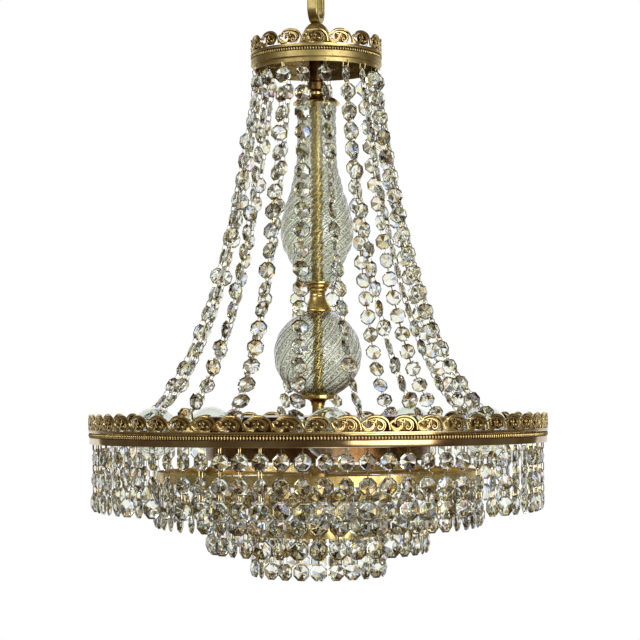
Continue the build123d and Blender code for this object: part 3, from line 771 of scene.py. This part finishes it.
def moulded(outside, inside, steps, rows, ribs, slant):
    """A glass shell with ribs on its outer skin and a map of the lanes between them.

    The rows are the smallest ribbed radius and the depths where the ribs start and end.
    """
    bm = spun(outside, steps)
    depths = [depth for radius, depth in outside]
    climbs = [0.0]
    for (radius, depth), (next_radius, next_depth) in zip(outside, outside[1:]):
        climbs.append(climbs[-1] - slant * (next_depth - depth) / max(8.0, (radius + next_radius) / 2))
    lane_map = bm.loops.layers.uv.new("lanes")
    low, top, bottom = rows
    places = {}
    for vert in bm.verts:
        depth = -vert.co.z / MM
        radius = sqrt(vert.co.x ** 2 + vert.co.y ** 2) / MM
        turn = atan2(vert.co.x, -vert.co.y)
        nearest = min(len(depths) - 1, bisect_left(depths, depth - 0.01))
        lane = (turn - climbs[nearest]) * ribs / tau
        places[vert] = (lane, depth * sqrt(1 + slant ** 2) / BOSS)
        fade = max(0.0, min(1.0, (depth - top) / 6, (bottom - depth) / 6, (radius - low) / 4))
        beside = lane - round(lane)
        grown = radius + fade * (RIB_HEIGHT * exp(-(beside / RIB_SPREAD) ** 2) - RIB_HEIGHT)
        vert.co.x *= grown / radius
        vert.co.y *= grown / radius
    for face in bm.faces:
        first = places[face.loops[0].vert][0]
        for corner in face.loops:
            lane, along = places[corner.vert]
            corner[lane_map].uv = (lane - ribs * round((lane - first) / ribs), along)
    wall = spun(inside, steps)
    flat_map = wall.loops.layers.uv.new("lanes")
    for face in wall.faces:
        for corner in face.loops:
            corner[flat_map].uv = PLAIN_SPOT
    bm.from_mesh(mesh_of(wall, "inside"))
    bmesh.ops.remove_doubles(bm, verts=bm.verts, dist=1e-5)
    bmesh.ops.recalc_face_normals(bm, faces=bm.faces)
    return bm


def smooth_line(points, steps):
    """Points along a smooth line through (radius, depth) knots."""
    curve = bpy.data.curves.new("line", "CURVE")
    curve.dimensions = "3D"
    curve.resolution_u = steps
    spline = curve.splines.new("BEZIER")
    spline.bezier_points.add(len(points) - 1)
    for knot, (radius, depth) in zip(spline.bezier_points, points):
        knot.co = (radius, depth, 0)
        knot.handle_left_type = knot.handle_right_type = "AUTO"
    return [(vert.co.x, vert.co.y) for vert in mesh_of_curve(curve).vertices]


# %% The vase
vase_wall = 3
vase_knots = [(20.5, 115.5), (19.5, 135), (20, 158), (21.5, 183.5), (25, 196), (26.5, 204), (32, 219),
              (36.6, 242), (35, 259), (29, 272), (21, 288), (17.3, 293.6)]
vase_outside = smooth_line(vase_knots, 16) + [(15.6, 295.3), (13.5, 296.0)]
vase_inner_knots = [(radius - vase_wall, depth) for radius, depth in vase_knots[:-1]]
vase_foot = [(13.5, 296.0), (9, 296.0), (9, 293.0)]
vase_inside = vase_foot + smooth_line(vase_inner_knots, 5)[::-1] + vase_knots[:1]
vase = moulded(vase_outside, vase_inside, steps=224, rows=(14, 117, 292), ribs=12, slant=1.4)
new_piece("moulded_vase", vase, "glass_vase", sharp=180)


# %% The ball
ball_centre = 368.5


def ball_arc(radius, start, end, steps):
    """Points along the ball's side from one lean to another, both measured from its top."""
    leans = [start + (end - start) * index / steps for index in range(steps + 1)]
    return [(radius * sin(lean), ball_centre - radius * cos(lean)) for lean in leans]


ball_outside = ball_arc(44, radians(15), pi - radians(12), 110)
ball_inside = ball_arc(40.5, pi - radians(12.9), radians(12.9), 40)
ball_inside = [ball_outside[-1]] + ball_inside + [(9, 326.2), ball_outside[0]]
ball = moulded(ball_outside, ball_inside, steps=280, rows=(12, 329, 408), ribs=16, slant=0.95)
new_piece("moulded_ball", ball, "glass_ball", sharp=180)

# %% [markdown]
# ## Crystals and links
# Each crystal is an eight-sided stone, cut on both faces: eight wedges meet at a point in the middle,
# and a narrow bevel runs down from them to a thin edge. Its corners are rings of points, and the hull
# over them gives the flat facets. The same stone is copied along every strand, each copy turned by
# chance about its hanging line, because each one hangs freely on two wire ovals.
# Lead glass splits light into colours, which a renderer leaves out, and its facets mirror the room
# and the brass. So every facet carries painted light in a colour attribute: most are nearly clear,
# some greyish, dark or amber as painted reflections of the room and the brass, and a few yellow,
# blue or pink as painted colours of the split light.


# %% One crystal
def crystal(size):
    """A cut stone that faces local Z, in mm."""
    bm = bmesh.new()
    grow = size / 16
    corner = size / 2 / cos(pi / 8)
    for radius, height in ((corner, 0.5), (6.5 * grow, 1.9)):
        for side in (1, -1):
            place = Matrix.Translation((0, 0, side * height)) @ Matrix.Rotation(pi / 8, 4, "Z")
            bmesh.ops.create_circle(bm, segments=8, radius=radius, matrix=place)
    for side in (1, -1):
        bmesh.ops.create_vert(bm, co=(0, 0, side * 3.3))
    bmesh.ops.convex_hull(bm, input=bm.verts)
    loose = [edge for edge in bm.edges if not edge.link_faces]
    bmesh.ops.delete(bm, geom=loose, context="EDGES")
    bmesh.ops.dissolve_limit(bm, angle_limit=radians(2), verts=bm.verts, edges=bm.edges)
    bmesh.ops.recalc_face_normals(bm, faces=bm.faces)
    bmesh.ops.scale(bm, verts=bm.verts, vec=(MM, MM, MM))
    print("crystal faces:", len(bm.faces))
    return mesh_of(bm, "crystal")


STONE = 16
END_STONE = 18.2
LOWEST_STONE = 16.2
stones = {size: crystal(size) for size in (STONE, END_STONE, LOWEST_STONE)}

# %% Painted light of the facets
# Shares and colours of the painted light: grey, dark and amber painted reflections, yellow, blue and pink
# painted split light.
PAINTED_FACET_LIGHT = (
    (0.47, (0.955, 0.99, 0.925)),
    (0.15, (0.77, 0.83, 0.72)),
    (0.15, (0.09, 0.07, 0.04)),
    (0.09, (0.50, 0.36, 0.13)),
    (0.06, (0.99, 0.86, 0.46)),
    (0.05, (0.42, 0.54, 0.97)),
    (0.03, (0.95, 0.66, 0.74)),
)
cut = random.Random(11)


def paint_facet_light(bm):
    """Paints light on each facet, as a painted reflection or split-light colour in the attribute 'facet'."""
    layer = bm.loops.layers.float_color.new("facet")
    weights = [share for share, tone in PAINTED_FACET_LIGHT]
    tones = [(*tone, 1.0) for share, tone in PAINTED_FACET_LIGHT]
    for face in bm.faces:
        tone = cut.choices(tones, weights)[0]
        for corner in face.loops:
            corner[layer] = tone


print("tones:", len(PAINTED_FACET_LIGHT))

# %% One wire oval
OVAL_HALF_WIDTH = 2.6
OVAL_WIRE = 0.8
SEAT = 0.65  # mm from a hole's middle to the inside of the oval
HOOK_SEAT = 0.2
WIRE_MIDDLE = 0.35  # mm from the inside of the oval to the middle of its wire


def wire_oval(distance, seat):
    """A wire oval between two holes a distance apart along local Y, lying in the local Y-Z plane."""
    curve = bpy.data.curves.new("oval", "CURVE")
    curve.dimensions = "3D"
    curve.bevel_depth = OVAL_WIRE / 2 * MM
    curve.bevel_resolution = 0
    spline = curve.splines.new("POLY")
    straight = distance / 2 - seat + WIRE_MIDDLE - OVAL_HALF_WIDTH
    places = []
    for index in range(12):
        turn = tau * (index + 0.5) / 12
        shift = straight if sin(turn) > 0 else -straight
        places.append((0, OVAL_HALF_WIDTH * sin(turn) + shift, OVAL_HALF_WIDTH * cos(turn)))
    spline.points.add(len(places) - 1)
    for point, (x, y, z) in zip(spline.points, places):
        point.co = (x * MM, y * MM, z * MM, 1)
    spline.use_cyclic_u = True
    return mesh_of_curve(curve)


oval_store = {}


def oval(distance, seat=SEAT):
    """The wire oval for a distance and its seat in the holes, made once."""
    key = (round(distance, 1), seat)
    if key not in oval_store:
        oval_store[key] = wire_oval(*key)
    return oval_store[key]


# %% Rows of drops
HOLE_INSET = 2.3  # mm from a stone's edge to the middle of its hole
STRING_TURN = 12.8  # degrees, how far a whole string usually turns
STONE_TURN = 11.2  # degrees, how far a stone usually turns in its string
hang = random.Random(4)
all_ovals = bmesh.new()


def drops(name, node, radius, count, first, hook_depth, crystals):
    """One ring of drops under a band, with each crystal's depth and size from the top down."""
    bm = bmesh.new()
    for index in range(count):
        azimuth = first + 360 / count * index
        hook = hook_depth
        last_turn = 0.0
        drop_turn = hang.gauss(0, STRING_TURN)
        for depth, size in crystals:
            reach = size / 2 - HOLE_INSET
            turn = drop_turn + hang.gauss(0, STONE_TURN)
            place = around(azimuth, radius, depth) @ Matrix.Rotation(radians(turn), 4, "Y")
            add_copies(bm, stones[size], [place])
            eye = depth - reach
            middle = (last_turn + turn) / 2
            oval_place = around(azimuth, radius, (hook + eye) / 2) @ Matrix.Rotation(radians(middle), 4, "Y")
            add_copies(all_ovals, oval(eye - hook), [oval_place])
            hook = depth + reach
            last_turn = turn
    paint_facet_light(bm)
    new_piece(name, bm, node, sharp=0)


drops("first_row_of_drops", "tier1_beads", radius=221, count=72, first=1.5, hook_depth=453.4,
      crystals=[(469.5, STONE), (491, STONE), (512.9, END_STONE)])
drops("second_row_of_drops", "tier2_beads", radius=160, count=52, first=0, hook_depth=491.7,
      crystals=[(506, STONE), (530, END_STONE)])
drops("third_row_of_drops", "tier3_beads", radius=108, count=36, first=0, hook_depth=520.0,
      crystals=[(534, STONE), (555.8, END_STONE)])
drops("lowest_row_of_drops", "tier4_beads", radius=65, count=24, first=0, hook_depth=545.5,
      crystals=[(557.9, STONE), (580.2, LOWEST_STONE)])
new_piece("links_of_the_drops", all_ovals, "drop_links", sharp=50)

# %% [markdown]
# ## The strands from the crown to the ring
# A hanging chain takes the curve of a catenary. Each strand leaves the crown almost straight down
# and reaches the ring almost level, and lies in one upright plane. The stones are placed by length
# along that curve, and a wire oval joins each two.

# %% The plane and curve of a strand
strand_count = 18
stones_in_strand = 21
sag = 59.0  # the radius of the curve's lowest bend
low_radius = 216.5  # where the curve is level
low_depth = 446.7
first_depth = 95.4  # the first crystal's middle
pitch = 19.8  # from crystal to crystal along the curve
hook_radius = 62
hook_depth = 81.2
hook_turn = radians(8)
pin_radius = 221
pin_turn = radians(14.05)
start = Vector((hook_radius * sin(hook_turn), -hook_radius * cos(hook_turn), 0))
end = Vector((pin_radius * sin(pin_turn), -pin_radius * cos(pin_turn), 0))
outward = (end - start).normalized()
sideways = Vector((-outward.y, outward.x, 0))


def strand_place(middle, up):
    """A place with its Y along the strand and its X level, from a middle in mm."""
    out = sideways.cross(up)
    matrix = Matrix((sideways, up, out)).transposed().to_4x4()
    matrix.translation = middle * MM
    return matrix


def on_curve(run, depth):
    """A point of the strand's plane by its run from the stem and its depth."""
    return start + outward * (run - hook_radius) - Vector((0, 0, depth))


# %% Places of a strand's crystals and ovals
stone_reach = STONE / 2 - HOLE_INSET
length = sag * sinh(acosh(1 + (low_depth - first_depth) / sag))
stone_places = []
oval_places = []
hook = on_curve(hook_radius, hook_depth)
for index in range(stones_in_strand):
    angle = asinh((length - pitch * index) / sag)
    centre = on_curve(low_radius - sag * angle, low_depth - sag * (cosh(angle) - 1))
    up = (Vector((0, 0, sinh(angle))) - outward).normalized()
    upper = centre + up * stone_reach
    stone_places.append(strand_place(centre, up))
    joint = hook - upper
    oval_places.append((strand_place((hook + upper) / 2, joint.normalized()), joint.length))
    hook = centre - up * stone_reach
wall_point = on_curve(hook_radius + (end - start).length, low_depth)
print("stones in a strand:", len(stone_places), "last gap:", round((wall_point - hook).length, 2), "mm")

# %% Strands
strand_turn = 40  # degrees, how far a whole strand usually turns about its line
stone_turn = 20  # degrees, how far each crystal usually turns in it
strands = bmesh.new()
strand_ovals = bmesh.new()
hooks = bmesh.new()
for number in range(strand_count):
    swing = Matrix.Rotation(tau / strand_count * number, 4, "Z")
    twist = hang.gauss(0, strand_turn)
    turns = [twist + hang.gauss(0, stone_turn) for _ in stone_places]
    for place, turn in zip(stone_places, turns):
        add_copies(strands, stones[STONE], [swing @ place @ Matrix.Rotation(radians(turn), 4, "Y")])
    for index, (place, distance) in enumerate(oval_places):
        before = turns[index - 1] if index else 0.0
        turn = (before + turns[index]) / 2
        target, seat = (strand_ovals, SEAT) if index else (hooks, HOOK_SEAT)
        add_copies(target, oval(distance, seat), [swing @ place @ Matrix.Rotation(radians(turn), 4, "Y")])
paint_facet_light(strands)
new_piece("strands_of_crystals", strands, "swag_beads", sharp=0)
new_piece("links_of_the_strands", strand_ovals, "swag_links", sharp=50)
new_piece("hooks_of_the_strands", hooks, "crown_hooks", sharp=50)

# %% [markdown]
# ## The lamps
# Each lamp is a thin clear globe on a short neck, with a nickel screw cap, and the solids show these
# as they are. Its filament is a small coiled wire between two thin posts, which is what shows inside
# clear glass. The filament goes with its lamp when the lamp is unscrewed.

# %% Filaments
lamp_azimuths = [3.6, 83.6, 143.6, 223.6, 283.6]
lamp_depth = 444.3
post_foot = 138.2  # mm from the stem, as are the next two
post_bend = 150
coil_place = 163
coil_half = 6.5


def wire(points, thickness):
    """A thin wire through (across, up, out) points in mm."""
    curve = bpy.data.curves.new("wire", "CURVE")
    curve.dimensions = "3D"
    curve.bevel_depth = thickness / 2 * MM
    curve.bevel_resolution = 1
    spline = curve.splines.new("POLY")
    spline.points.add(len(points) - 1)
    for point, (x, y, z) in zip(spline.points, points):
        point.co = (x * MM, y * MM, z * MM, 1)
    return mesh_of_curve(curve)


filament = bmesh.new()
for side in (1, -1):
    post = [(side * 1.5, 0, post_foot), (side * 2.0, 0, post_bend), (side * coil_half, 0, coil_place)]
    filament.from_mesh(wire(post, 0.5))
coil = []
for step in range(21):
    turn = pi * step / 20
    coil.append((coil_half * cos(turn), 0.7 * sin(step * 1.9), coil_place + 1.8 * abs(sin(turn))))
filament.from_mesh(wire(coil, 0.4))
filament_mesh = mesh_of(filament, "filament")
for number, azimuth in enumerate(lamp_azimuths, 1):
    bm = bmesh.new()
    add_copies(bm, filament_mesh, [around(azimuth, 0, lamp_depth)])
    for face in bm.faces:
        face.smooth = True
    mesh = mesh_of(bm, f"filament_{number}")
    thing = bpy.data.objects.new(f"filament_{number}", mesh)
    bpy.context.collection.objects.link(thing)
    mesh.materials.append(finishes["nickel"])
    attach(thing, f"bulb_{number}")
print("filaments:", len(lamp_azimuths))
